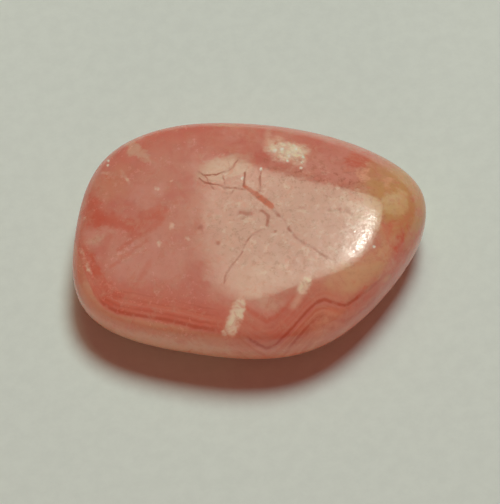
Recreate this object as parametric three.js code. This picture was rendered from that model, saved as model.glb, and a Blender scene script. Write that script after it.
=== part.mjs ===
// A tumble-polished slice of banded rhodochrosite, one solid stone: a flat pear-shaped pebble with a
// broad, nearly flat face ground on top, bevelled all round, a flat foot and softly rounded sides.
// Millimetres, +Z up, the narrow tip towards +X. The origin is under the middle of the stone, on the
// surface that it rests on.
import * as THREE from "three";
import { mergeVertices } from "three/addons/utils/BufferGeometryUtils.js";

// The plan: the straight-ish sides that the tumbling left, each by its bearing in degrees anticlockwise from
// the tip and its reach from the stone's middle, and how sharply one side turns into the next
const PLAN = {
  middle: [0, 0],
  cornerSharpness: 4.8,
  sides: [
    { bearing: 12, reach: 14.35 },
    { bearing: 58, reach: 10.34 },
    { bearing: 88, reach: 9.62 },
    { bearing: 159, reach: 12.63 },
    { bearing: 222, reach: 14.6 },
    { bearing: 253, reach: 10.1 },
    { bearing: 309, reach: 10.7 },
  ],
};

// Crown and base: how far a whole pebble of this plan would reach above and below its widest contour,
// and how full its profile is (2 is an ellipse, more is squarer)
const CROWN_HEIGHT = 4.8;
const CROWN_FULLNESS = 3.4;
const BASE_DEPTH = 3.6;
const BASE_FULLNESS = 2.1;

// The ground top face: its distance from the stone's middle, its tilt along X and Y, and its crispness
const TABLE_REACH = 3.5;
const TABLE_TILT = [-0.03, -0.04];
const TABLE_CRISPNESS = 20;

// The flat part of the top face, in plan. Past it a bevel falls away all round, crisp towards the front and
// the tip, slow towards the back and the blunt end.
const FACE = {
  middle: [2.05, -1.41],
  cornerSharpness: 9,
  sides: [
    { bearing: 348, reach: 8.05 },
    { bearing: 63, reach: 4.3 },
    { bearing: 123, reach: 7.4 },
    { bearing: 168, reach: 5.0 },
    { bearing: 213, reach: 6.4 },
    { bearing: 276, reach: 5.3 },
    { bearing: 310, reach: 7.9 },
  ],
};
const FACE_SIZE = 6.5;
const BEVEL_CRISP_BEARING = -30;
const BEVEL_SPREAD = 3;
const BEVEL_SLOPE = { crisp: 0.3, slow: 0.1 };
const BEVEL_SOFTNESS = { crisp: 0.6, slow: 2.0 };

// The flat foot: the plane that wore it down, its crispness, and where it is cut dead flat
const FOOT_REACH = 3.1;
const FOOT_CRISPNESS = 14;
const FOOT_LEVEL = 3.07;

// Half-sizes of the box that the skin is laid out from, and its facets along length, width and height
const HALF_BOX = [13.3, 10, 3.55];
const SEGMENTS = [44, 32, 12];

// The unit direction in plan at a bearing in degrees.
function headingOf(bearing) {
  const angle = THREE.MathUtils.degToRad(bearing);
  return [Math.cos(angle), Math.sin(angle)];
}

// How many times an outline's own reach a point lies from its middle: 1 on the outline.
function timesReached(outline, point) {
  const total = outline.sides.reduce((sum, { bearing, reach }) => {
    const [x, y] = headingOf(bearing);
    const toward = (point.x - outline.middle[0]) * x + (point.y - outline.middle[1]) * y;
    return sum + Math.max(toward / reach, 0) ** outline.cornerSharpness;
  }, 0);
  return total ** (1 / outline.cornerSharpness);
}

// A smooth larger-of-two: the higher the crispness, the sharper the edge between the two surfaces.
function join(a, b, crispness) {
  return (a ** crispness + b ** crispness) ** (1 / crispness);
}

// How far the bevel round the top face takes the skin down at a point.
function bevelDrop(point) {
  const past = (timesReached(FACE, point) - 1) * FACE_SIZE;
  const [x, y] = headingOf(BEVEL_CRISP_BEARING);
  const offset = [point.x - FACE.middle[0], point.y - FACE.middle[1]];
  const slow = 0.5 - (0.5 * (offset[0] * x + offset[1] * y)) / Math.hypot(...offset, BEVEL_SPREAD);
  const slope = THREE.MathUtils.lerp(BEVEL_SLOPE.crisp, BEVEL_SLOPE.slow, slow);
  const softness = THREE.MathUtils.lerp(BEVEL_SOFTNESS.crisp, BEVEL_SOFTNESS.slow, slow);
  return (slope * (past + Math.hypot(past, softness))) / 2;
}

// The point of the skin in a direction from the stone's middle.
function skinPoint(direction) {
  const [height, fullness] = direction.z > 0 ? [CROWN_HEIGHT, CROWN_FULLNESS] : [BASE_DEPTH, BASE_FULLNESS];
  const pebble = join(timesReached(PLAN, direction), Math.abs(direction.z) / height, fullness);
  const footed = join(pebble, Math.max(-direction.z, 0) / FOOT_REACH, FOOT_CRISPNESS);
  const tableNormal = new THREE.Vector3(...TABLE_TILT, 1).normalize();
  const table = Math.max(direction.dot(tableNormal), 0) / TABLE_REACH;
  const point = direction.clone().divideScalar(join(footed, table, TABLE_CRISPNESS));
  if (point.z > 0) point.z *= 1 - bevelDrop(point) / TABLE_REACH;
  point.z = Math.max(point.z, -FOOT_LEVEL);
  return point;
}

// The stone's closed skin: a subdivided box, each of whose corners moves out or in to the skin.
function stoneGeometry() {
  const box = new THREE.BoxGeometry(...HALF_BOX.map((half) => 2 * half), ...SEGMENTS);
  box.deleteAttribute("normal");
  box.deleteAttribute("uv");
  const geometry = mergeVertices(box);
  const places = geometry.getAttribute("position");
  for (let i = 0; i < places.count; i++) {
    const point = skinPoint(new THREE.Vector3().fromBufferAttribute(places, i));
    places.setXYZ(i, point.x, point.y, point.z);
  }
  geometry.computeBoundingBox();
  const middle = geometry.boundingBox.getCenter(new THREE.Vector3());
  geometry.translate(-middle.x, -middle.y, FOOT_LEVEL);
  geometry.computeVertexNormals();
  return geometry;
}

const pinkStone = new THREE.MeshStandardMaterial({ color: 0xc27466, roughness: 0.25, metalness: 0 });

const stone = new THREE.Mesh(stoneGeometry(), pinkStone);
stone.name = "rhodochrosite_slice";

const part = new THREE.Group();
part.add(stone);

export default part;
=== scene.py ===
"""A tumble-polished slice of banded rhodochrosite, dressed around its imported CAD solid.

The slice is one stone, so the scene has one piece: a fine closed skin, worked out with the same formula as
the CAD solid, in a material whose colours, veins and cracks are all worked out from the point's own place.

Lengths are in millimetres until a mesh, a light or the camera is made. The stone's frame is the CAD frame:
X along the stone towards its narrow tip, Y across it, Z up, with the floor at Z = 0.
"""

from __future__ import annotations

import logging
import math
from collections.abc import Sequence
from dataclasses import dataclass
from enum import Enum
from typing import Union

import bpy
import numpy as np
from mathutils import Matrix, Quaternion, Vector

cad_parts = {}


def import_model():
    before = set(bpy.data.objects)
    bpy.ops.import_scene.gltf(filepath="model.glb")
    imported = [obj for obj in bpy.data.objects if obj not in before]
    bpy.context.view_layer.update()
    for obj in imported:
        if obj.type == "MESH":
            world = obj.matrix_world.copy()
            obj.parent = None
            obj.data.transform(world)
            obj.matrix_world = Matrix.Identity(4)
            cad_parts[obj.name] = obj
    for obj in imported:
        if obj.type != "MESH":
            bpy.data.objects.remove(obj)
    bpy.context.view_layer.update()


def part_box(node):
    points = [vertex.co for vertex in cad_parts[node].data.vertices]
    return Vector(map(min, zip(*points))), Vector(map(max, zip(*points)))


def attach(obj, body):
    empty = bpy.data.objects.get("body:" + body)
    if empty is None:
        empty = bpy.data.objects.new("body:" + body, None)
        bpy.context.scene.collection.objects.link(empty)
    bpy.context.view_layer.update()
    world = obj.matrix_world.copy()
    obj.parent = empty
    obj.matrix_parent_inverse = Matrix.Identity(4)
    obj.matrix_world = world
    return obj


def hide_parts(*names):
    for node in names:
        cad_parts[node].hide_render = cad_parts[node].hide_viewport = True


MM = 0.001
STONE_NODE = "rhodochrosite_slice"
BODY = "root"
# The share of a white stone's light that the camera sees under the lamps
LAMPLIGHT = 0.62
# The offset and the power of the curve that turns sRGB levels into light
SRGB_OFFSET = 0.055
SRGB_POWER = 2.4

log = logging.getLogger("slice")


@dataclass(frozen=True)
class Side:
    """A side of an outline: its bearing in degrees anticlockwise from the tip, its reach in mm."""

    bearing: float
    reach: float


@dataclass(frozen=True)
class Outline:
    """A rounded outline of straight-ish sides around a middle point."""

    sides: tuple[Side, ...]
    corner_sharpness: float
    middle: tuple[float, float] = (0.0, 0.0)

    def times_reached(self, points: np.ndarray) -> np.ndarray:
        """How many times the outline's own reach each point lies from its middle: 1 on the outline.

        It is the power mean of how far the point goes towards each side, over the side's reach.

        Args:
            points: points in mm, one a row.

        Returns:
            one number a point.
        """
        total = np.zeros(len(points))
        for side in self.sides:
            angle = math.radians(side.bearing)
            toward = (points[:, 0] - self.middle[0]) * math.cos(angle)
            toward += (points[:, 1] - self.middle[1]) * math.sin(angle)
            total += np.maximum(toward / side.reach, 0) ** self.corner_sharpness
        return total ** (1 / self.corner_sharpness)


@dataclass(frozen=True)
class StoneShape:
    """The stone's closed skin, a distance in every direction from the stone's middle, in mm.

    A pebble of the plan's outline is worn flat above and below. The flat face on top then has a bevel all
    round, crisp towards the front and the tip, and slow towards the back and the blunt end.
    """

    plan: Outline = Outline(
        (
            Side(12, 14.35),
            Side(58, 10.34),
            Side(88, 9.62),
            Side(159, 12.63),
            Side(222, 14.6),
            Side(253, 10.1),
            Side(309, 10.7),
        ),
        corner_sharpness=4.8,
    )
    # How far the whole pebble would reach up and down, and how full its profile is (2 is an ellipse)
    crown_height: float = 4.8
    crown_fullness: float = 3.4
    base_depth: float = 3.6
    base_fullness: float = 2.1
    # The planes that the top face and the foot were ground to, and the level where the foot is dead flat
    table_reach: float = 3.5
    table_tilt: tuple[float, float] = (-0.03, -0.04)
    table_crispness: float = 20
    foot_reach: float = 3.1
    foot_crispness: float = 14
    foot_level: float = 3.07
    # The flat part of the top face, and the bevel past it, with its slope and softness crisp and slow
    face: Outline = Outline(
        (
            Side(348, 8.05),
            Side(63, 4.3),
            Side(123, 7.4),
            Side(168, 5.0),
            Side(213, 6.4),
            Side(276, 5.3),
            Side(310, 7.9),
        ),
        corner_sharpness=9,
        middle=(2.05, -1.41),
    )
    face_size: float = 6.5
    # The bearing in degrees where the bevel is crispest, and how far round the face's middle it is even
    crisp_bearing: float = -30
    crisp_spread: float = 3
    bevel_slope: tuple[float, float] = (0.3, 0.1)
    bevel_softness: tuple[float, float] = (0.6, 2.0)
    # Half-sizes of the box that the skin is laid out from, and its quads along X, Y and Z
    half_box: tuple[float, float, float] = (13.3, 10.0, 3.55)
    steps: tuple[int, int, int] = (208, 152, 48)

    @staticmethod
    def join(first: np.ndarray, second: np.ndarray, crispness: np.ndarray | float) -> np.ndarray:
        """A smooth larger-of-two: the higher the crispness, the sharper the edge between two surfaces."""
        return (first**crispness + second**crispness) ** (1 / crispness)

    def bevel(self, points: np.ndarray) -> np.ndarray:
        """How far the bevel round the top face takes the skin down at each point.

        Past the face's outline the drop grows with the distance at the bevel's slope, and a softness in mm
        rounds its start. Both go from their first value at the crisp bearing to their second opposite it.

        Args:
            points: points of the skin in mm, one a row.

        Returns:
            the drop in mm, one a point.
        """
        past = (self.face.times_reached(points) - 1) * self.face_size
        angle = math.radians(self.crisp_bearing)
        across, along = points[:, 0] - self.face.middle[0], points[:, 1] - self.face.middle[1]
        toward = across * math.cos(angle) + along * math.sin(angle)
        slow = 0.5 - 0.5 * toward / np.sqrt(across**2 + along**2 + self.crisp_spread**2)
        slope = self.bevel_slope[0] + (self.bevel_slope[1] - self.bevel_slope[0]) * slow
        softness = self.bevel_softness[0] + (self.bevel_softness[1] - self.bevel_softness[0]) * slow
        return slope * (past + np.sqrt(past**2 + softness**2)) / 2

    def skin(self, directions: np.ndarray) -> np.ndarray:
        """The point of the skin in each direction from the stone's middle.

        Each surface says how many times its own reach a direction goes. Their smooth largest is how far the
        direction has to shrink to land on the skin. The bevel then takes the crown down by its share.

        Args:
            directions: directions from the stone's middle, one a row.

        Returns:
            the points, in mm from the stone's middle, one a row.
        """
        up = directions[:, 2] > 0
        height = np.where(up, self.crown_height, self.base_depth)
        fullness = np.where(up, self.crown_fullness, self.base_fullness)
        pebble = self.join(self.plan.times_reached(directions), np.abs(directions[:, 2]) / height, fullness)
        footed = self.join(pebble, np.maximum(-directions[:, 2], 0) / self.foot_reach, self.foot_crispness)
        normal = np.array((*self.table_tilt, 1.0))
        normal /= np.linalg.norm(normal)
        table = np.maximum(directions @ normal, 0) / self.table_reach
        points = directions / self.join(footed, table, self.table_crispness)[:, None]
        points[:, 2] = np.maximum(points[:, 2], -self.foot_level)
        points[up, 2] *= 1 - self.bevel(points[up]) / self.table_reach
        return points

    def lattice(self) -> tuple[np.ndarray, np.ndarray]:
        """The corners and the quads of a subdivided box around the stone's middle.

        Each wall of the box is a grid of two parameters. A corner that two or three walls share is kept once.

        Returns:
            the corners in mm, one a row, and four corner numbers a quad, anticlockwise seen from outside.
        """
        counts = np.array(self.steps)
        corners: list[np.ndarray] = []
        for axis in range(3):
            first, second = (axis + 1) % 3, (axis + 2) % 3
            u, v = np.meshgrid(np.arange(counts[first]), np.arange(counts[second]), indexing="ij")
            for level in (0, counts[axis]):
                ring = ((0, 0), (1, 0), (1, 1), (0, 1)) if level else ((0, 0), (0, 1), (1, 1), (1, 0))
                quad = np.zeros((u.size, 4, 3), dtype=int)
                for place, (du, dv) in enumerate(ring):
                    quad[:, place, axis] = level
                    quad[:, place, first] = u.ravel() + du
                    quad[:, place, second] = v.ravel() + dv
                corners.append(quad.reshape(-1, 3))
        places, numbers = np.unique(np.concatenate(corners), axis=0, return_inverse=True)
        return (places / counts * 2 - 1) * np.array(self.half_box), numbers.reshape(-1, 4)

    def build(self) -> bpy.types.Object:
        """The stone's skin as a smooth-shaded mesh object, fitted to the box of the CAD solid.

        Returns:
            the new object, at the origin, with its place in its mesh.
        """
        corners, quads = self.lattice()
        points = self.skin(corners)
        low, high = (np.array(corner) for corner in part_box(STONE_NODE))
        spread = points.max(axis=0) - points.min(axis=0)
        points = (points - points.min(axis=0)) / spread * (high - low) + low
        mesh = bpy.data.meshes.new("banded_slice")
        mesh.from_pydata(points, [], quads)
        mesh.shade_smooth()
        mesh.update()
        stone = bpy.data.objects.new("banded_slice", mesh)
        bpy.context.collection.objects.link(stone)
        return stone


@dataclass(frozen=True)
class Sight:
    """The view that the markings are placed by: the photo's camera, and where the stone's middle falls.

    The camera stands at `distance` mm from the stone's middle, `elevation` degrees above the floor, and the
    stone's tip is turned `turn` degrees anticlockwise from the picture's right.
    """

    elevation: float = 60.0
    turn: float = 12.0
    distance: float = 180.0
    pixels_per_mm: float = 13.74
    frame_pixels: tuple[int, int] = (500, 504)
    middle_pixel: tuple[float, float] = (249.6, 239.7)
    middle_height: float = 3.07

    def direction(self, azimuth: float, elevation: float) -> Vector:
        """The unit direction at an azimuth clockwise from behind the stone, seen from the camera's side.

        Args:
            azimuth: the azimuth in degrees.
            elevation: the angle over the floor in degrees.

        Returns:
            the direction, in the stone's frame.
        """
        across = math.radians(azimuth + self.turn)
        up = math.radians(elevation)
        return Vector((math.sin(across) * math.cos(up), math.cos(across) * math.cos(up), math.sin(up)))

    def axes(self) -> tuple[Vector, Vector, Vector]:
        """The picture's own directions.

        Returns:
            its right, its up and the direction towards the camera, in the stone's frame.
        """
        toward = self.direction(180, self.elevation)
        turned = (-toward).to_track_quat("-Z", "Y")
        return turned @ Vector((1, 0, 0)), turned @ Vector((0, 1, 0)), toward


@dataclass(frozen=True)
class Fade:
    """A smooth step: low where a number is at start, high where it is at end."""

    start: float
    end: float
    low: float = 0.0
    high: float = 1.0


@dataclass(frozen=True)
class Grain:
    """A noise: its features to a unit of place, its finer layers, their roughness, and its warp.

    With a step it gives a share, from the step's low to its high. Without one it gives the bare noise, which
    lies around a half.
    """

    scale: float
    layers: float = 2.0
    roughness: float = 0.5
    warp: float = 0.0
    step: Fade | None = None


Socket = bpy.types.NodeSocket
Value = Union[Socket, float]
Triple = Union[Socket, tuple[float, ...]]


class Graph:
    """A material's node tree, with a short call for each kind of node that the finishes use."""

    # The colour sockets' places among all of a Mix node's, of which several have the same name
    MIX_COLOURS = (6, 7)
    MIX_RESULT = 2

    def __init__(self, tree: bpy.types.NodeTree) -> None:
        """Starts on a node tree.

        Args:
            tree: the tree that the nodes go into.
        """
        self.tree = tree

    def node(self, kind: str, **settings: object) -> bpy.types.Node:
        """Adds a node.

        Args:
            kind: Blender's name for the kind of node.
            **settings: the node's own settings, by name.

        Returns:
            the new node.
        """
        made = self.tree.nodes.new(kind)
        for name, value in settings.items():
            setattr(made, name, value)
        return made

    def feed(self, socket: Socket, value: Value | Triple) -> None:
        """Links a socket to another's output, or sets it to a plain value.

        Args:
            socket: the input.
            value: the output that feeds it, or its plain value.
        """
        if isinstance(value, bpy.types.NodeSocket):
            self.tree.links.new(value, socket)
        else:
            socket.default_value = value

    def math(self, operation: str, *values: Value) -> Socket:
        """A number from one, two or three numbers.

        Args:
            operation: Blender's name for the sum to do.
            *values: the numbers.

        Returns:
            the result.
        """
        made = self.node("ShaderNodeMath", operation=operation)
        for socket, value in zip(made.inputs, values):
            self.feed(socket, value)
        return made.outputs[0]

    def chain(self, operation: str, values: Sequence[Value]) -> Socket:
        """Several numbers put together two by two, from the first on.

        Args:
            operation: Blender's name for what is done with two of them.
            values: the numbers.

        Returns:
            the result.
        """
        so_far = values[0]
        for value in values[1:]:
            so_far = self.math(operation, so_far, value)
        return so_far

    def total(self, *values: Value) -> Socket:
        """The sum of several numbers."""
        return self.chain("ADD", values)

    def product(self, *values: Value) -> Socket:
        """The product of several numbers."""
        return self.chain("MULTIPLY", values)

    def largest(self, *values: Value) -> Socket:
        """The largest of several numbers."""
        return self.chain("MAXIMUM", values)

    def vector(
        self, operation: str, first: Triple, second: Triple | None = None, scale: Value | None = None
    ) -> Socket:
        """A vector, or for a dot product, a length or a distance a number, from one or two vectors.

        Args:
            operation: Blender's name for what is done.
            first: the first vector.
            second: the second vector, where the operation has one.
            scale: the number that a vector is scaled by, where it is.

        Returns:
            the vector or the number.
        """
        made = self.node("ShaderNodeVectorMath", operation=operation)
        self.feed(made.inputs[0], first)
        if second is not None:
            self.feed(made.inputs[1], second)
        if scale is not None:
            self.feed(made.inputs["Scale"], scale)
        return made.outputs["Value" if operation in ("DOT_PRODUCT", "LENGTH", "DISTANCE") else "Vector"]

    def combine(self, x: Value, y: Value, z: Value = 0.0) -> Socket:
        """A vector from three numbers.

        Args:
            x: its first number.
            y: its second.
            z: its third.

        Returns:
            the vector.
        """
        made = self.node("ShaderNodeCombineXYZ")
        for socket, value in zip(made.inputs, (x, y, z)):
            self.feed(socket, value)
        return made.outputs[0]

    def fade(self, value: Value, step: Fade) -> Socket:
        """Takes a number over a smooth step.

        Args:
            value: the number.
            step: the step.

        Returns:
            a number from the step's low to its high.
        """
        made = self.node("ShaderNodeMapRange", interpolation_type="SMOOTHSTEP", clamp=False)
        self.feed(made.inputs["Value"], value)
        made.inputs["From Min"].default_value = step.start
        made.inputs["From Max"].default_value = step.end
        made.inputs["To Min"].default_value = step.low
        made.inputs["To Max"].default_value = step.high
        return made.outputs["Result"]

    def noise(self, place: Socket, grain: Grain) -> Socket:
        """Reads a noise.

        Args:
            place: where it is read.
            grain: the noise.

        Returns:
            the bare noise, or the share that the grain's step makes of it.
        """
        made = self.node("ShaderNodeTexNoise")
        self.feed(made.inputs["Vector"], place)
        made.inputs["Scale"].default_value = grain.scale
        made.inputs["Detail"].default_value = grain.layers
        made.inputs["Roughness"].default_value = grain.roughness
        made.inputs["Distortion"].default_value = grain.warp
        bare = made.outputs["Fac"]
        return bare if grain.step is None else self.fade(bare, grain.step)

    def mix(self, share: Value, first: Triple, second: Triple) -> Socket:
        """Lays one colour over another.

        Args:
            share: how much of the second colour is laid, from 0 to 1.
            first: the colour below.
            second: the colour that is laid over it.

        Returns:
            the mixed colour.
        """
        made = self.node("ShaderNodeMix", data_type="RGBA")
        self.feed(made.inputs["Factor"], share)
        for place, colour in zip(self.MIX_COLOURS, (first, second)):
            self.feed(made.inputs[place], colour)
        return made.outputs[self.MIX_RESULT]

    def profile(self, value: Socket, stops: Sequence[tuple[float, float]]) -> Socket:
        """A number on straight lines between stops.

        Args:
            value: the place along the line, from 0 to 1.
            stops: the places from 0 to 1, each with its level from 0 to 1.

        Returns:
            the level.
        """
        made = self.node("ShaderNodeValToRGB")
        ramp = made.color_ramp
        ramp.interpolation = "LINEAR"
        while len(ramp.elements) < len(stops):
            ramp.elements.new(1.0)
        for element, (place, level) in zip(ramp.elements, stops):
            element.position = place
            element.color = (1, 1, 1, level)
        self.feed(made.inputs["Fac"], value)
        return made.outputs["Alpha"]


@dataclass(frozen=True)
class Shake:
    """A shift by noise: its features to a mm, its largest size in pixels, its finer layers and roughness.

    The sideways and the upright shift are read at two different starts in the noise.
    """

    per_mm: float
    reach: float
    layers: float = 5.0
    roughness: float = 0.6
    starts: tuple[tuple[float, float, float], ...] = ((0, 0, 0), (7, 3, 5))


class Canvas(Graph):
    """The graph of the stone's material, with the place and the pixel of each of the stone's points."""

    def __init__(self, tree: bpy.types.NodeTree, sight: Sight) -> None:
        """Works out each point's place in mm from the stone's middle, and the pixel that it is seen at.

        Along each of the picture's axes the pixel is the point's reach over its depth, as in any picture.

        Args:
            tree: the tree that the nodes go into.
            sight: the view that the pixels belong to.
        """
        super().__init__(tree)
        self.sight = sight
        place = self.vector("SCALE", self.node("ShaderNodeTexCoord").outputs["Object"], scale=1 / MM)
        self.place = self.vector("SUBTRACT", place, (0, 0, sight.middle_height))
        right, up, toward = sight.axes()
        nearer = self.vector("DOT_PRODUCT", self.place, tuple(toward))
        depth = self.math("SUBTRACT", sight.distance, nearer)
        zoom = self.math("DIVIDE", sight.pixels_per_mm * sight.distance, depth)
        aside = self.vector("DOT_PRODUCT", self.place, tuple(right))
        self.column = self.math("MULTIPLY_ADD", aside, zoom, sight.middle_pixel[0])
        rise = self.math("MULTIPLY", self.vector("DOT_PRODUCT", self.place, tuple(up)), zoom)
        self.row = self.math("SUBTRACT", sight.middle_pixel[1], rise)

    def shift(self, place: Socket, shake: Shake) -> Socket:
        """A shift in pixels, from minus the shake's reach to its reach, by the noise at a place."""
        noise = self.noise(place, Grain(shake.per_mm, shake.layers, shake.roughness))
        return self.math("MULTIPLY_ADD", noise, 2 * shake.reach, -shake.reach)

    def shaken(self, shake: Shake) -> Socket:
        """Each point's pixel, shifted about, so that the markings drawn by it come out ragged.

        Args:
            shake: the shift.

        Returns:
            the shifted pixel, as a vector.
        """
        shifts = [self.shift(self.vector("ADD", self.place, start), shake) for start in shake.starts]
        return self.combine(self.total(self.column, shifts[0]), self.total(self.row, shifts[1]))


class Tone(Enum):
    """The stone's own colours, each as the sRGB levels that it shows under the lamps."""

    PINK = (181, 121, 102)
    LILAC = (184, 128, 111)
    DULL_PINK = (168, 112, 92)
    ROSE = (177, 105, 89)
    RED = (177, 91, 70)
    DEEP_RED = (160, 76, 56)
    ORANGE = (186, 108, 82)
    TAN = (184, 145, 111)
    FRONT_TAN = (182, 124, 98)
    FRONT_ORANGE = (174, 106, 80)
    GOLD = (173, 131, 87)
    GREEN = (182, 150, 107)
    CREAM = (196, 148, 120)
    SIDE = (182, 132, 106)
    PALE = (184, 148, 124)
    # The calcite's white, also laid as painted sheen specks and painted glitter on the top face
    CALCITE_AND_SHEEN = (218, 190, 164)
    # The white of the painted glints
    PAINTED_GLINT = (246, 222, 190)
    CRACK = (146, 70, 42)
    GASH = (178, 92, 60)
    SPECK = (150, 84, 60)

    def own_colour(self) -> tuple[float, float, float, float]:
        """The linear colour that a stone has where it shows the tone under the lamps.

        The levels are taken out of sRGB and divided by the share of light that comes back from a white stone.

        Returns:
            red, green, blue and alpha, from 0 to 1.
        """
        shown = ((level / 255 + SRGB_OFFSET) / (1 + SRGB_OFFSET) for level in self.value)
        own = (min(level**SRGB_POWER / LAMPLIGHT, 1.0) for level in shown)
        return (*own, 1.0)


@dataclass(frozen=True)
class Patch:
    """A soft oval: its middle pixel, its half-sizes in pixels and its turn in degrees.

    Its strength fades out from 1 - edge to 1 + edge of its half-sizes.
    """

    at: tuple[float, float]
    size: tuple[float, float]
    turn: float
    strength: float = 1.0
    edge: float = 0.6

    def share(self, graph: Graph, spot: Socket) -> Socket:
        """How strongly each point lies in the patch.

        The pixel is turned by the patch's turn and measured in its half-sizes, so that the patch is a circle.

        Args:
            graph: the material's graph.
            spot: the point's pixel, as a vector.

        Returns:
            a number from 0 to the patch's strength.
        """
        angle = math.radians(self.turn)
        across = (math.cos(angle) / self.size[0], -math.sin(angle) / self.size[0], 0)
        along = (math.sin(angle) / self.size[1], math.cos(angle) / self.size[1], 0)
        offset = graph.vector("SUBTRACT", spot, (*self.at, 0))
        round_spot = graph.combine(
            graph.vector("DOT_PRODUCT", offset, across), graph.vector("DOT_PRODUCT", offset, along)
        )
        rim = Fade(1 + self.edge, 1 - self.edge, high=self.strength)
        return graph.fade(graph.vector("LENGTH", round_spot), rim)


@dataclass(frozen=True)
class Cloud(Patch):
    """A patch of a tone."""

    tone: Tone = Tone.PINK


@dataclass(frozen=True)
class Stroke:
    """A line along several pixels. It fades out from 1 - edge to 1 + edge of its half-width in pixels."""

    path: tuple[tuple[float, float], ...]
    half_width: float
    strength: float = 1.0
    edge: float = 0.5

    def share(self, graph: Graph, spot: Socket) -> Socket:
        """How strongly each point lies on the line, by its least distance to the line's straight pieces.

        Args:
            graph: the material's graph.
            spot: the point's pixel, as a vector.

        Returns:
            a number from 0 to the stroke's strength.
        """
        distances = []
        for start, end in zip(self.path, self.path[1:]):
            run = Vector((end[0] - start[0], end[1] - start[1], 0))
            offset = graph.vector("SUBTRACT", spot, (*start, 0))
            along = graph.vector("DOT_PRODUCT", offset, tuple(run / run.length_squared))
            along = graph.math("MINIMUM", graph.math("MAXIMUM", along, 0.0), 1.0)
            foot = graph.vector("SCALE", tuple(run), scale=along)
            distances.append(graph.vector("DISTANCE", offset, foot))
        rim = Fade(self.half_width * (1 + self.edge), self.half_width * (1 - self.edge), high=self.strength)
        return graph.fade(graph.chain("MINIMUM", distances), rim)


@dataclass(frozen=True)
class Dot:
    """A small round spot: its middle pixel, its radius in pixels, and where it fades, in its own radii."""

    at: tuple[float, float]
    radius: float
    fades: tuple[float, float] = (1.3, 0.2)

    def share(self, graph: Graph, spot: Socket) -> Socket:
        """How strongly each point lies on the dot, by its distance from the dot's middle.

        Args:
            graph: the material's graph.
            spot: the point's pixel, as a vector.

        Returns:
            a number from 0 to 1.
        """
        away = graph.vector("DISTANCE", spot, (*self.at, 0))
        return graph.fade(away, Fade(self.radius * self.fades[0], self.radius * self.fades[1]))


Mark = Union[Patch, Stroke, Dot]


@dataclass(frozen=True)
class Marks:
    """Several marks of one tone, and how much of the tone is laid where they are strongest."""

    marks: tuple[Mark, ...]
    tone: Tone
    amount: float

    def share(self, graph: Graph, spot: Socket) -> Socket:
        """How strongly each point lies on any of the marks."""
        return graph.largest(*(mark.share(graph, spot) for mark in self.marks))

    def laid(self, graph: Graph, share: Socket, colour: Socket) -> Socket:
        """A colour with the marks' tone laid over it, by how strongly each point lies on them."""
        return graph.mix(graph.product(share, self.amount), colour, self.tone.own_colour())


@dataclass(frozen=True)
class Rings:
    """Fine rings around a middle pixel, inside a cloud that gives their tone.

    They are a noise read along the distance from the middle, in which it has `per_pixel` features to a pixel,
    on one line of it. They begin past the core.
    """

    middle: tuple[float, float] = (391, 203)
    cloud: Cloud = Cloud((403, 224), (22, 28), -12, 0.35, 0.4, Tone.RED)
    per_pixel: float = 0.16
    line: float = 3.0
    grain: Grain = Grain(1.0, step=Fade(0.38, 0.62))
    core: Fade = Fade(11.0, 17.0)

    def laid(self, graph: Graph, spot: Socket, colour: Socket) -> Socket:
        """Lays the rings over a colour.

        Args:
            graph: the material's graph.
            spot: the point's pixel, as a vector.
            colour: the colour under the rings.

        Returns:
            the colour with the rings.
        """
        away = graph.vector("DISTANCE", spot, (*self.middle, 0))
        rings = graph.noise(graph.combine(graph.product(away, self.per_pixel), self.line), self.grain)
        share = graph.product(rings, self.cloud.share(graph, spot), graph.fade(away, self.core))
        return graph.mix(share, colour, self.cloud.tone.own_colour())


@dataclass(frozen=True)
class Band:
    """A fine growth band: its height over the lowest band, its half-width, and its first and last column.

    All four are in pixels.
    """

    level: float
    half_width: float
    start: float
    end: float
    strength: float
    tone: Tone = Tone.RED


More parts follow.
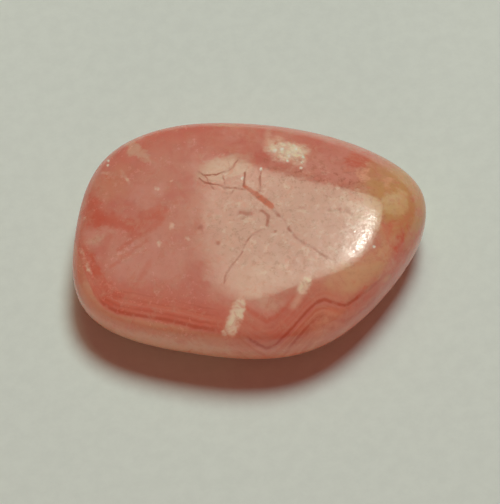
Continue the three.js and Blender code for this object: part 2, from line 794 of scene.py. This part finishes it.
@dataclass(frozen=True)
class GrowthBands:
    """The fine growth bands along the stone's front, with the paler side under them.

    The lowest band runs on straight lines between the pixels of the boundary. The others repeat it higher up.
    Heights are in pixels over the lowest band.
    """

    bands: tuple[Band, ...] = (
        Band(3.0, 3.2, 96, 228, 0.7, Tone.DEEP_RED),
        Band(3.0, 3.2, 244, 390, 0.8, Tone.DEEP_RED),
        Band(9.0, 1.8, 98, 226, 0.28, Tone.DEEP_RED),
        Band(13.0, 1.6, 104, 226, 0.3, Tone.LILAC),
        Band(17.5, 1.6, 110, 226, 0.25, Tone.DEEP_RED),
        Band(24.0, 1.5, 116, 226, 0.25, Tone.DEEP_RED),
        Band(-13.0, 3.0, 284, 385, 0.6, Tone.DEEP_RED),
        Band(-5.0, 1.6, 250, 385, 0.35),
        Band(10.0, 2.2, 244, 350, 0.3),
        Band(17.0, 2.6, 240, 320, 0.3),
        Band(31.0, 5.0, 238, 312, 0.6),
    )
    boundary: tuple[tuple[float, float], ...] = (
        (60, 180), (70, 225), (78, 252), (86, 276), (95, 296), (103, 307), (115, 314), (140, 319), (170, 324),
        (200, 331), (222, 335), (238, 333), (252, 344), (266, 352), (275, 349), (288, 336), (304, 318),
        (316, 306), (324, 303), (334, 306), (346, 309), (357, 301), (372, 290), (390, 274), (405, 255),
        (418, 235), (430, 210),
    )
    # How far the bands waver up and down
    waver: Shake = Shake(1.6, 1.6, 3, 0.5)
    # The fine lines between the bands: their features to a pixel across and along the bands
    line_pitch: tuple[float, float] = (0.17, 0.02)
    line_grain: Grain = Grain(1.0, 2, 0.5, 0.3)
    line_step: Fade = Fade(0.36, 0.66)
    line_amount: float = 0.4
    # Where the banded ground begins at its foot and thins out at its top
    foot: Fade = Fade(-1.0, 2.0)
    thinning: Fade = Fade(46.0, 16.0)
    # The columns where the left side turns into the front, and where the front ends
    front: Fade = Fade(222.0, 246.0)
    right_end: Fade = Fade(400.0, 350.0)
    # The front and the left side under the lowest band
    under: Fade = Fade(0.0, -3.0)
    under_front: Fade = Fade(226.0, 242.0)
    under_step: Fade = Fade(0.40, 0.62)
    under_amount: float = 0.8
    side: Fade = Fade(1.0, -3.0)
    side_end: Fade = Fade(240.0, 226.0)
    # How far in from its two ends a band reaches its full strength, and how near its middle line
    band_ends: tuple[float, float] = (8, 20)
    band_core: float = 0.4

    def height(self, canvas: Canvas) -> Socket:
        """The height of each point over the lowest band.

        Args:
            canvas: the material's graph.

        Returns:
            the height in pixels, above 0 up the picture.
        """
        picture_height = canvas.sight.frame_pixels[1]
        first, last = self.boundary[0][0], self.boundary[-1][0]
        along = canvas.math("DIVIDE", canvas.math("SUBTRACT", canvas.column, first), last - first)
        stops = [((column - first) / (last - first), row / picture_height) for column, row in self.boundary]
        edge = canvas.product(canvas.profile(along, stops), picture_height)
        return canvas.total(canvas.math("SUBTRACT", edge, canvas.row), canvas.shift(canvas.place, self.waver))

    def laid(self, canvas: Canvas, colour: Socket) -> Socket:
        """Lays the banded ground, the side under it and the bands over a colour.

        Args:
            canvas: the material's graph.
            colour: the colour under the bands.

        Returns:
            the banded colour.
        """
        height = self.height(canvas)
        across, along = self.line_pitch
        line_spot = canvas.combine(canvas.product(height, across), canvas.product(canvas.column, along))
        lines = canvas.noise(line_spot, self.line_grain)
        front = canvas.fade(canvas.column, self.front)
        right_end = canvas.fade(canvas.column, self.right_end)

        ground = canvas.mix(
            canvas.fade(lines, self.line_step),
            canvas.mix(front, Tone.ORANGE.own_colour(), Tone.FRONT_TAN.own_colour()),
            canvas.mix(front, Tone.RED.own_colour(), Tone.FRONT_ORANGE.own_colour()),
        )
        reach = canvas.product(canvas.fade(height, self.foot), canvas.fade(height, self.thinning))
        colour = canvas.mix(canvas.product(reach, right_end, self.line_amount), colour, ground)

        lower_ground = canvas.mix(
            canvas.fade(lines, self.under_step), Tone.FRONT_TAN.own_colour(), Tone.FRONT_ORANGE.own_colour()
        )
        under = canvas.product(
            canvas.fade(height, self.under), canvas.fade(canvas.column, self.under_front), right_end
        )
        colour = canvas.mix(canvas.product(under, self.under_amount), colour, lower_ground)
        side = canvas.product(canvas.fade(height, self.side), canvas.fade(canvas.column, self.side_end))
        colour = canvas.mix(side, colour, Tone.SIDE.own_colour())
        for band in self.bands:
            colour = canvas.mix(self.band_share(canvas, height, band), colour, band.tone.own_colour())
        return colour

    def band_share(self, canvas: Canvas, height: Socket, band: Band) -> Socket:
        """How strongly each point lies on one band.

        Args:
            canvas: the material's graph.
            height: the point's height over the lowest band.
            band: the band.

        Returns:
            a number from 0 to the band's strength.
        """
        away = canvas.math("ABSOLUTE", canvas.math("SUBTRACT", height, band.level))
        span = canvas.product(
            canvas.fade(canvas.column, Fade(band.start, band.start + self.band_ends[0])),
            canvas.fade(canvas.column, Fade(band.end, band.end - self.band_ends[1])),
        )
        return canvas.product(canvas.fade(away, Fade(band.half_width, self.band_core)), span, band.strength)


@dataclass(frozen=True)
class Wave:
    """A waviness of the polished surface: its noise, and how high it would stand in mm."""

    grain: Grain
    height: float


@dataclass(frozen=True)
class Polish:
    """The polish: how rough it is from place to place, and the slight relief that it leaves."""

    # The roughness by column, duller towards the left, and what wear, breaks and pores add to it
    left_end: Fade = Fade(280.0, 180.0, 0.12, 0.17)
    wear: Grain = Grain(0.6, 4, 0.6, step=Fade(0.3, 0.8, 0.0, 0.06))
    broken_roughness: float = 0.3
    pores: Grain = Grain(3.2, 4, 0.65, step=Fade(0.47, 0.62))
    pore_roughness: float = 0.08
    waves: tuple[Wave, ...] = (
        Wave(Grain(0.5, 2), 0.016),
        Wave(Grain(1.7, 4), 0.009),
        Wave(Grain(6.0, 3), 0.0007),
    )
    # The sparkling hollow: its strength is its crystals' height in mm
    hollow: Patch = Patch((288, 152), (21, 12), -6, 0.06, 0.3)
    crystals_per_mm: float = 3.2

    def roughness(self, canvas: Canvas, broken: Socket, top: Socket) -> Socket:
        """How rough each point is.

        Args:
            canvas: the material's graph.
            broken: how strongly the point lies on a crack, the gash, a pit or a stain.
            top: the point's share of the top face.

        Returns:
            the roughness, from 0 to 1.
        """
        pores = canvas.product(canvas.noise(canvas.place, self.pores), top)
        return canvas.total(
            canvas.fade(canvas.column, self.left_end),
            canvas.noise(canvas.place, self.wear),
            canvas.product(broken, self.broken_roughness),
            canvas.product(pores, self.pore_roughness),
        )

    def relief(self, canvas: Canvas) -> Socket:
        """The surface's direction at each point, bent by the waves and by the crystals of the hollow.

        Args:
            canvas: the material's graph.

        Returns:
            the bent normal.
        """
        waves = (canvas.product(canvas.noise(canvas.place, wave.grain), wave.height) for wave in self.waves)
        crystals = canvas.node("ShaderNodeTexVoronoi", feature="F1")
        canvas.feed(crystals.inputs["Vector"], canvas.place)
        crystals.inputs["Scale"].default_value = self.crystals_per_mm
        hollow = self.hollow.share(canvas, canvas.combine(canvas.column, canvas.row))
        bump = canvas.node("ShaderNodeBump")
        bump.inputs["Distance"].default_value = MM
        height = canvas.total(*waves, canvas.product(hollow, crystals.outputs["Distance"]))
        canvas.feed(bump.inputs["Height"], height)
        return bump.outputs["Normal"]


@dataclass(frozen=True)
class Spots:
    """Each point's pixel, shifted about in four ways, and the point's share of the top face."""

    ragged: Socket
    patchy: Socket
    fine: Socket
    cracked: Socket
    top: Socket


@dataclass(frozen=True)
class BandedStone:
    """Polished banded rhodochrosite: pink clouds, fine red growth bands, calcite, cracks and pits, with
    painted sheen, glitter and glints on its top face and a painted paler bottom rim.

    Every marking is worked out from the point's own place in the stone. The ones that the photo shows are
    placed by the pixel that the `Sight` sees them at, and run on into the stone along that line of sight.
    """

    sight: Sight
    slot: str = "polished_rhodochrosite"
    # How ragged the markings are, from the softest to the sharpest
    ragged: Shake = Shake(0.7, 20.0)
    patchy: Shake = Shake(1.2, 6.0)
    fine: Shake = Shake(2.2, 4.0)
    cracked: Shake = Shake(2.2, 2.4)
    # Where the top face's own marks fade in, in mm over the stone's middle
    top: Fade = Fade(0.5, 1.6)
    # The ground: a pink and rose mottle, with a lilac one over it that is read elsewhere in the noise
    mottle: Grain = Grain(0.32, 4, 0.6, 0.6, Fade(0.40, 0.66))
    lilac_mottle: Grain = Grain(0.4, 4, 0.6, 0.4, Fade(0.48, 0.66))
    lilac_start: tuple[float, float, float] = (11, 4, 2)
    clouds: tuple[Cloud, ...] = (
        # Duller pink under the top face's sheen: partly the stone's own tone, partly a painted dulling so
        # that the mirrored lamp over it looks creamy
        Cloud((300, 228), (88, 56), 8, 0.8, tone=Tone.DULL_PINK),
        Cloud((120, 168), (30, 18), 30, 0.5, tone=Tone.ROSE),
        Cloud((112, 186), (22, 14), 50, 0.3, tone=Tone.TAN),
        Cloud((139, 151), (15, 6), -48, 0.8, 0.35, Tone.PALE),
        Cloud((150, 262), (38, 30), 20, 0.8, tone=Tone.LILAC),
        Cloud((96, 212), (12, 16), 0, 0.85, tone=Tone.RED),
        Cloud((118, 224), (28, 7), -16, 0.7, tone=Tone.RED),
        Cloud((152, 216), (20, 6), 28, 0.6, tone=Tone.RED),
        Cloud((97, 241), (9, 5), 20, 0.6, tone=Tone.PALE),
        Cloud((96, 268), (5, 18), 24, 0.9, tone=Tone.RED),
        Cloud((110, 296), (8, 14), 40, 0.9, tone=Tone.RED),
        Cloud((165, 296), (60, 12), -9, 0.7, tone=Tone.ROSE),
        Cloud((168, 312), (62, 9), -12, 0.55, 0.5, Tone.RED),
        Cloud((205, 129), (32, 7), 0, 0.7, tone=Tone.ROSE),
        Cloud((228, 128), (9, 3), 0, 0.6, tone=Tone.TAN),
        Cloud((318, 148), (24, 9), -20, 0.6, tone=Tone.ROSE),
        Cloud((360, 161), (14, 8), -35, 0.8, tone=Tone.RED),
        Cloud((330, 170), (30, 11), -14, 0.8, tone=Tone.LILAC),
        Cloud((393, 196), (30, 38), -20, 1.0, tone=Tone.GOLD),
        Cloud((406, 208), (20, 24), -10, 1.0, tone=Tone.GOLD),
        Cloud((395, 204), (13, 11), 0, 0.9, 0.35, Tone.GREEN),
        Cloud((391, 200), (7, 6), 0, 0.15, tone=Tone.CALCITE_AND_SHEEN),
        Cloud((366, 175), (7, 5), 0, 0.8, tone=Tone.CREAM),
        Cloud((386, 180), (7, 4), -30, 0.6, tone=Tone.CREAM),
        Cloud((388, 232), (4, 9), 5, 0.7, tone=Tone.RED),
        Cloud((403, 244), (7, 15), -12, 1.0, tone=Tone.RED),
        Cloud((413, 240), (5, 14), -14, 0.4, tone=Tone.ORANGE),
        Cloud((266, 300), (24, 7), 0, 0.6, tone=Tone.LILAC),
        # Painted sheen: pale clouds that make the top face's mirrored sheen paler and creamier at its edges
        # and near the highlight
        Cloud((345, 257), (28, 14), 25, 0.25, tone=Tone.PALE),
        Cloud((262, 280), (36, 14), 8, 0.35, tone=Tone.PALE),
        Cloud((224, 168), (26, 12), 10, 0.75, 0.35, Tone.PALE),
        Cloud((355, 210), (18, 16), -20, 0.6, tone=Tone.PALE),
    )
    rings: Rings = Rings()
    red_lines: tuple[Stroke, ...] = (
        Stroke(((84, 213), (104, 221), (130, 228), (148, 222), (166, 210)), 3.6, 0.7, 0.8),
        Stroke(((118, 250), (140, 236), (163, 219)), 2.2, 0.6, 0.8),
        Stroke(((110, 268), (126, 256), (146, 240)), 1.6, 0.45, 0.8),
        Stroke(((128, 300), (140, 280), (150, 262)), 2.0, 0.3, 0.9),
    )
    bands: GrowthBands = GrowthBands()
    front_clouds: tuple[Cloud, ...] = (
        Cloud((362, 272), (32, 15), 28, 0.9, tone=Tone.TAN),
        Cloud((385, 252), (9, 20), -18, 0.7, tone=Tone.TAN),
        Cloud((330, 322), (22, 9), 30, 0.5, tone=Tone.CREAM),
        Cloud((336, 312), (10, 6), 10, 0.5, tone=Tone.ORANGE),
        Cloud((262, 301), (22, 9), 0, 0.6, tone=Tone.PALE),
        Cloud((79, 272), (10, 26), -14, 0.4, tone=Tone.RED),
        # Painted reflection: the bottom rim is painted paler, standing in for the lit paper mirrored in it
        Cloud((165, 344), (72, 6), -8, 0.6, tone=Tone.PALE),
        Cloud((405, 266), (32, 9), 60, 0.6, tone=Tone.RED),
        Cloud((418, 212), (34, 6), 74, 0.7, tone=Tone.GOLD),
        Cloud((358, 312), (36, 9), 39, 0.5, tone=Tone.RED),
    )
    veins: tuple[Stroke, ...] = (
        Stroke(((81, 250), (86, 263), (91, 274)), 1.4, 0.35, 0.9),
        Stroke(((301, 292), (294, 306)), 4.0, 0.3, 0.9),
        Stroke(((121, 172), (129, 182)), 1.8, 0.25, 0.9),
        Stroke(((103, 173), (112, 174)), 1.4, 0.3, 0.9),
        Stroke(((268, 132), (267, 147)), 3.4, 0.3, 0.9),
        Stroke(((239, 307), (231, 331)), 6.0, 0.8, 0.4),
        Stroke(((235, 309), (226, 333)), 4.0, 0.5, 0.5),
        Stroke(((240, 303), (239, 316)), 4.0, 0.7, 0.6),
        Stroke(((306, 282), (303, 289)), 5.0, 0.9, 0.5),
    )
    # How a vein's white comes and goes along it
    vein_gaps: Grain = Grain(0.9, step=Fade(0.36, 0.62, 0.65, 1.0))
    # The sparkling patch: partly pale frosted stone, partly painted glitter where the rough hollow catches
    # the lamp
    sparkling: tuple[Patch, ...] = (
        Patch((288, 151), (20, 9), -6, 1.0, 0.35),
        Patch((277, 148), (9, 10), 0, 0.75, 0.45),
        Patch((299, 156), (8, 9), 20, 0.65, 0.45),
    )
    frost_and_glitter: Grain = Grain(1.8, 3, 0.6, step=Fade(0.35, 0.6, 0.6, 1.0))
    flecks: Marks = Marks(
        (
            Dot((172, 226), 3.2),
            Dot((188, 239), 2.8),
            Dot((159, 244), 3.0),
            Dot((127, 180), 2.4),
            Dot((157, 189), 2.6),
            Dot((171, 181), 1.8),
            Dot((84, 218), 1.6),
            Dot((88, 270), 2.2),
            Dot((240, 311), 2.4),
            Dot((223, 332), 2.0),
        ),
        Tone.CALCITE_AND_SHEEN,
        0.5,
    )
    # Painted glints: near-white dots where small facets would catch the lamp
    painted_glints: Marks = Marks(
        (
            Dot((275, 151), 2.4),
            Dot((282, 149), 2.2),
            Dot((289, 156), 1.8),
            Dot((287, 161), 1.6),
            Dot((296, 149), 1.6),
            Dot((303, 157), 2.0),
            Dot((302, 162), 1.8),
            Dot((301, 168), 1.8),
            Dot((261, 169), 2.0),
            Dot((243, 178), 2.2),
            Dot((108, 161), 1.6),
            Dot((108, 165), 1.4),
            Dot((374, 247), 1.6),
        ),
        Tone.PAINTED_GLINT,
        0.9,
    )
    pits: Marks = Marks((Dot((200, 228), 2.8), Dot((218, 243), 2.4), Dot((275, 232), 2.0)), Tone.CRACK, 0.35)
    cracks: Marks = Marks(
        (
            Stroke(((271, 206), (275, 212), (285, 220), (289, 229), (295, 237)), 1.6, 0.75, 0.8),
            Stroke(((295, 237), (301, 242), (312, 247), (322, 255), (330, 259)), 1.3, 0.6, 0.9),
            Stroke(((199, 171), (204, 175), (215, 175), (222, 173), (230, 170), (235, 164), (239, 158)), 0.8),
            Stroke(((200, 178), (205, 183), (212, 184), (220, 185), (226, 188), (235, 188), (245, 190)), 0.8),
            Stroke(((222, 173), (224, 180), (225, 191)), 0.7, 0.9),
            Stroke(((205, 175), (208, 182), (214, 190)), 0.7, 0.8),
            Stroke(((235, 188), (229, 197), (220, 200)), 0.6, 0.6),
            Stroke(((261, 170), (260, 180), (260, 191)), 0.8),
            Stroke(((245, 173), (244, 187)), 1.0),
            Stroke(((230, 170), (228, 162)), 0.6, 0.8),
            Stroke(
                ((262, 229), (252, 235), (245, 243), (241, 255), (232, 265), (226, 274), (224, 283)),
                0.9,
                0.7,
                0.9,
            ),
        ),
        Tone.CRACK,
        0.7,
    )
    # How a crack thins out and comes back along it
    crack_gaps: Grain = Grain(1.9, 3, step=Fade(0.38, 0.58, 0.35, 1.0))
    stains: Marks = Marks(
        (
            Stroke(((262, 211), (269, 217), (267, 225)), 2.0, 0.8, 0.8),
            Stroke(((240, 213), (250, 214)), 2.6, 0.7, 0.9),
            Stroke(((329, 211), (340, 210)), 2.4, 0.6, 0.9),
            Stroke(((346, 209), (352, 215)), 2.0, 0.5, 0.9),
            Stroke(((300, 207), (305, 208)), 1.8, 0.5, 0.9),
            Stroke(((290, 262), (296, 264)), 1.8, 0.4, 0.9),
        ),
        Tone.CRACK,
        0.6,
    )
    gash: Marks = Marks(
        (
            Stroke(((245, 187), (250, 190), (256, 194)), 1.8, 0.9, 0.6),
            Stroke(((256, 194), (263, 200), (271, 206)), 3.2, 1.0, 0.5),
        ),
        Tone.GASH,
        0.9,
    )
    # The fine grain of the whole stone
    pale_grain: Grain = Grain(1.1, 3, 0.6, 0.5, Fade(0.48, 0.68, 0.0, 0.3))
    red_grain: Grain = Grain(1.1, 5, 0.7, 0.8, Fade(0.50, 0.70, 0.0, 0.45))
    # The speckled middle of the top face, where its sheen lies: its dark specks, with fewer all over the
    # stone, and its pale specks, which are painted sheen mottle
    sheen_zone: Patch = Patch((292, 222), (86, 56), 8, 0.7, 0.3)
    specks: Grain = Grain(2.2, 5, 0.75, step=Fade(0.48, 0.66))
    specks_all_over: float = 0.14
    painted_sheen_specks: Grain = Grain(1.4, 5, 0.75, step=Fade(0.50, 0.70))
    painted_sheen_specks_amount: float = 0.5
    polish: Polish = Polish()
    # How the stone bends light, how much goes into it, and how far red, green and blue spread there, in mm
    refraction: float = 1.7
    translucency: float = 0.8
    spread: float = 4.0
    spread_by_colour: tuple[float, float, float] = (1.0, 0.4, 0.3)

    def material(self) -> bpy.types.Material:
        """The finish as a material.

        Returns:
            the new material.
        """
        material = bpy.data.materials.new(self.slot)
        material.use_nodes = True
        shader = material.node_tree.nodes["Principled BSDF"]
        canvas = Canvas(material.node_tree, self.sight)
        spots = Spots(
            ragged=canvas.shaken(self.ragged),
            patchy=canvas.shaken(self.patchy),
            fine=canvas.shaken(self.fine),
            cracked=canvas.shaken(self.cracked),
            top=canvas.fade(canvas.vector("DOT_PRODUCT", canvas.place, (0, 0, 1)), self.top),
        )
        colour = self.front(canvas, spots, self.ground(canvas, spots))
        colour = self.white_marks(canvas, spots, colour)
        colour, broken = self.broken_marks(canvas, spots, colour)
        canvas.feed(shader.inputs["Base Color"], self.speckled(canvas, spots, colour))
        canvas.feed(shader.inputs["Roughness"], self.polish.roughness(canvas, broken, spots.top))
        canvas.feed(shader.inputs["Normal"], self.polish.relief(canvas))
        shader.inputs["IOR"].default_value = self.refraction
        shader.inputs["Subsurface Weight"].default_value = self.translucency
        shader.inputs["Subsurface Radius"].default_value = self.spread_by_colour
        shader.inputs["Subsurface Scale"].default_value = self.spread * MM
        return material

    def ground(self, canvas: Canvas, spots: Spots) -> Socket:
        """The ground colour: a soft mottle of pink, rose and lilac, with the clouds and rings laid over it.
        Some of the clouds are painted sheen.

        Args:
            canvas: the material's graph.
            spots: the points' pixels.

        Returns:
            the colour.
        """
        rosy = canvas.noise(canvas.place, self.mottle)
        colour = canvas.mix(rosy, Tone.PINK.own_colour(), Tone.ROSE.own_colour())
        lilac = canvas.noise(canvas.vector("ADD", canvas.place, self.lilac_start), self.lilac_mottle)
        colour = canvas.mix(lilac, colour, Tone.LILAC.own_colour())
        for cloud in self.clouds:
            colour = canvas.mix(cloud.share(canvas, spots.ragged), colour, cloud.tone.own_colour())
        return self.rings.laid(canvas, spots.fine, colour)

    def front(self, canvas: Canvas, spots: Spots, colour: Socket) -> Socket:
        """Lays the red lines, the growth bands and the front's clouds over a colour. One of the clouds is a
        painted paler bottom rim.

        Args:
            canvas: the material's graph.
            spots: the points' pixels.
            colour: the colour under them.

        Returns:
            the new colour.
        """
        for line in self.red_lines:
            colour = canvas.mix(line.share(canvas, spots.patchy), colour, Tone.RED.own_colour())
        colour = self.bands.laid(canvas, colour)
        for cloud in self.front_clouds:
            colour = canvas.mix(cloud.share(canvas, spots.ragged), colour, cloud.tone.own_colour())
        return colour

    def white_marks(self, canvas: Canvas, spots: Spots, colour: Socket) -> Socket:
        """Lays the calcite and the painted glitter over a colour: the calcite veins and flecks, the sparkling
        patch, which is partly pale frosted stone and partly painted glitter, and the painted glints.

        Args:
            canvas: the material's graph.
            spots: the points' pixels.
            colour: the colour under them.

        Returns:
            the new colour.
        """
        white = Tone.CALCITE_AND_SHEEN.own_colour()
        gaps = canvas.noise(canvas.place, self.vein_gaps)
        for vein in self.veins:
            colour = canvas.mix(canvas.product(vein.share(canvas, spots.fine), gaps), colour, white)
        # The sparkling patch's white: partly frosted stone, partly painted glitter
        patches = canvas.largest(*(patch.share(canvas, spots.patchy) for patch in self.sparkling))
        frost_and_glitter = canvas.noise(canvas.place, self.frost_and_glitter)
        colour = canvas.mix(canvas.product(canvas.product(patches, spots.top), frost_and_glitter), colour, white)
        flecks = canvas.product(self.flecks.share(canvas, spots.fine), spots.top)
        colour = self.flecks.laid(canvas, flecks, colour)
        # Painted glints on the top face
        painted_glints = canvas.product(self.painted_glints.share(canvas, spots.cracked), spots.top)
        return self.painted_glints.laid(canvas, painted_glints, colour)

    def broken_marks(self, canvas: Canvas, spots: Spots, colour: Socket) -> tuple[Socket, Socket]:
        """Lays the pits, the cracks, the stains and the gash of the top face over a colour.

        Args:
            canvas: the material's graph.
            spots: the points' pixels.
            colour: the colour under them.

        Returns:
            the new colour, and how strongly each point lies on any of them.
        """
        pits = canvas.product(self.pits.share(canvas, spots.fine), spots.top)
        colour = self.pits.laid(canvas, pits, colour)
        gaps = canvas.noise(canvas.place, self.crack_gaps)
        cracks = canvas.product(self.cracks.share(canvas, spots.cracked), spots.top, gaps)
        colour = self.cracks.laid(canvas, cracks, colour)
        stains = canvas.product(self.stains.share(canvas, spots.cracked), spots.top)
        colour = self.stains.laid(canvas, stains, colour)
        gash = canvas.product(self.gash.share(canvas, spots.cracked), spots.top)
        colour = self.gash.laid(canvas, gash, colour)
        return colour, canvas.largest(cracks, gash, pits, stains)

    def speckled(self, canvas: Canvas, spots: Spots, colour: Socket) -> Socket:
        """Lays the fine grain of the stone, the dark specks of its top face and the pale specks of painted
        sheen mottle over a colour.

        Args:
            canvas: the material's graph.
            spots: the points' pixels.
            colour: the colour under them.

        Returns:
            the new colour.
        """
        colour = canvas.mix(canvas.noise(canvas.place, self.pale_grain), colour, Tone.PALE.own_colour())
        colour = canvas.mix(canvas.noise(canvas.place, self.red_grain), colour, Tone.RED.own_colour())
        sheen_zone = self.sheen_zone.share(canvas, spots.ragged)
        density = canvas.total(sheen_zone, self.specks_all_over)
        specks = canvas.product(canvas.noise(canvas.place, self.specks), density)
        colour = canvas.mix(specks, colour, Tone.SPECK.own_colour())
        # Painted sheen mottle: pale specks only where the sheen lies
        painted_sheen_specks = canvas.noise(canvas.place, self.painted_sheen_specks)
        painted_sheen_specks = canvas.product(painted_sheen_specks, sheen_zone, self.painted_sheen_specks_amount)
        return canvas.mix(painted_sheen_specks, colour, Tone.CALCITE_AND_SHEEN.own_colour())


@dataclass(frozen=True)
class Lamp:
    """A round or oval lamp that faces the stone.

    Its azimuth is clockwise from behind the stone, in degrees, and its elevation over the floor too. Its
    distance and width are in mm. It lights what it falls on, or is only mirrored in the polish, or does both.
    An oval one has a height of its own in mm, and leans over by some degrees anticlockwise, seen from behind
    the lamp.
    """

    name: str
    azimuth: float
    elevation: float
    distance: float
    width: float
    watts: float
    colour: tuple[float, float, float]
    lights: bool = True
    mirrored: bool = True
    height: float | None = None
    lean: float = 0.0

    def place(self, sight: Sight) -> None:
        """Adds the lamp to the scene.

        Args:
            sight: the view that its azimuth is seen from.
        """
        data = bpy.data.lights.new(self.name, "AREA")
        data.shape = "ELLIPSE"
        data.size = self.width * MM
        data.size_y = (self.height or self.width) * MM
        data.energy = self.watts
        data.color = self.colour
        stand = bpy.data.objects.new(self.name, data)
        bpy.context.collection.objects.link(stand)
        toward = sight.direction(self.azimuth, self.elevation)
        stand.visible_diffuse = self.lights
        stand.visible_glossy = self.mirrored
        stand.location = toward * self.distance * MM
        lean = Quaternion((0, 0, 1), math.radians(self.lean))
        stand.rotation_euler = ((-toward).to_track_quat("-Z", "Y") @ lean).to_euler()


@dataclass(frozen=True)
class Paper:
    """A wide flat sheet of pale paper, faintly flecked, that the stone lies on."""

    half_size: float = 600.0
    colour: tuple[float, float, float] = (0.825, 0.885, 0.785)
    fleck_darkness: float = 0.955
    flecks: Grain = Grain(0.9, 5, 0.7, step=Fade(0.3, 0.7))
    roughness: float = 0.9

    def material(self) -> bpy.types.Material:
        """The paper's finish.

        Returns:
            the new material.
        """
        material = bpy.data.materials.new("paper")
        material.use_nodes = True
        shader = material.node_tree.nodes["Principled BSDF"]
        graph = Graph(material.node_tree)
        place = graph.vector("SCALE", graph.node("ShaderNodeTexCoord").outputs["Object"], scale=1 / MM)
        darker = tuple(level * self.fleck_darkness for level in self.colour)
        colour = graph.mix(graph.noise(place, self.flecks), (*darker, 1), (*self.colour, 1))
        graph.feed(shader.inputs["Base Color"], colour)
        shader.inputs["Roughness"].default_value = self.roughness
        return material

    def lay(self) -> None:
        half = self.half_size * MM
        corners = [(-half, -half, 0), (half, -half, 0), (half, half, 0), (-half, half, 0)]
        mesh = bpy.data.meshes.new("paper")
        mesh.from_pydata(corners, [], [(0, 1, 2, 3)])
        paper = bpy.data.objects.new("paper", mesh)
        bpy.context.collection.objects.link(paper)
        mesh.materials.append(self.material())


@dataclass(frozen=True)
class Studio:
    """The paper that the stone lies on, the lamps, the room's soft light and the camera."""

    sight: Sight
    # The width of the camera's sensor, in mm
    sensor: float = 36.0
    paper: Paper = Paper()
    # One lamp throws the shadow and one lights the front. Two are mirrored in the top face: a wide one in its
    # flat middle, and a small one in its rim.
    lamps: tuple[Lamp, ...] = (
        Lamp("key", 20, 67, 700, 260, 2.42, (0.805, 1.0, 1.045), mirrored=False),
        Lamp("fill", 180, 5, 600, 300, 0.6, (1.0, 0.85, 0.75), mirrored=False),
        Lamp("shade", -4, 65, 500, 230, 0.33, (0.83, 1.0, 0.75)),
        Lamp("bulb", 13, 67, 500, 21, 0.081, (1.0, 1.0, 0.9), lights=False, height=18, lean=-23),
    )
    room: tuple[float, float, float] = (0.164, 0.036, 0.03)

    def set_up(self) -> None:
        """Puts the paper, the lamps, the room's light and the camera around the stone."""
        self.place_camera()
        self.paper.lay()
        for lamp in self.lamps:
            lamp.place(self.sight)
        world = bpy.data.worlds.new("room")
        world.use_nodes = True
        world.node_tree.nodes["Background"].inputs["Color"].default_value = (*self.room, 1)
        bpy.context.scene.world = world
        bpy.context.scene.view_settings.view_transform = "Standard"

    def place_camera(self) -> None:
        """Puts the camera where the photo was taken from, and frames the stone as the photo does."""
        sight = self.sight
        data = bpy.data.cameras.new("camera")
        camera = bpy.data.objects.new("camera", data)
        bpy.context.collection.objects.link(camera)
        right, up, toward = sight.axes()
        camera.rotation_euler = (-toward).to_track_quat("-Z", "Y").to_euler()
        aside = (sight.frame_pixels[0] / 2 - sight.middle_pixel[0]) / sight.pixels_per_mm
        below = (sight.middle_pixel[1] - sight.frame_pixels[1] / 2) / sight.pixels_per_mm
        middle = Vector((0, 0, sight.middle_height)) + right * aside + up * below
        camera.location = (middle + toward * sight.distance) * MM
        data.sensor_width = self.sensor
        data.lens = sight.pixels_per_mm * sight.distance * self.sensor / max(sight.frame_pixels)
        data.clip_start = MM
        bpy.context.scene.camera = camera


def main() -> None:
    """Builds the stone, dresses it, and sets the studio around it."""
    logging.basicConfig(level=logging.INFO, format="%(message)s")
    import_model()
    sight = Sight()
    stone = StoneShape().build()
    stone.data.materials.append(BandedStone(sight).material())
    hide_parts(STONE_NODE)
    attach(stone, BODY)
    log.info("%s: one closed skin of %d faces", stone.name, len(stone.data.polygons))
    Studio(sight).set_up()


if __name__ == "__main__":
    main()
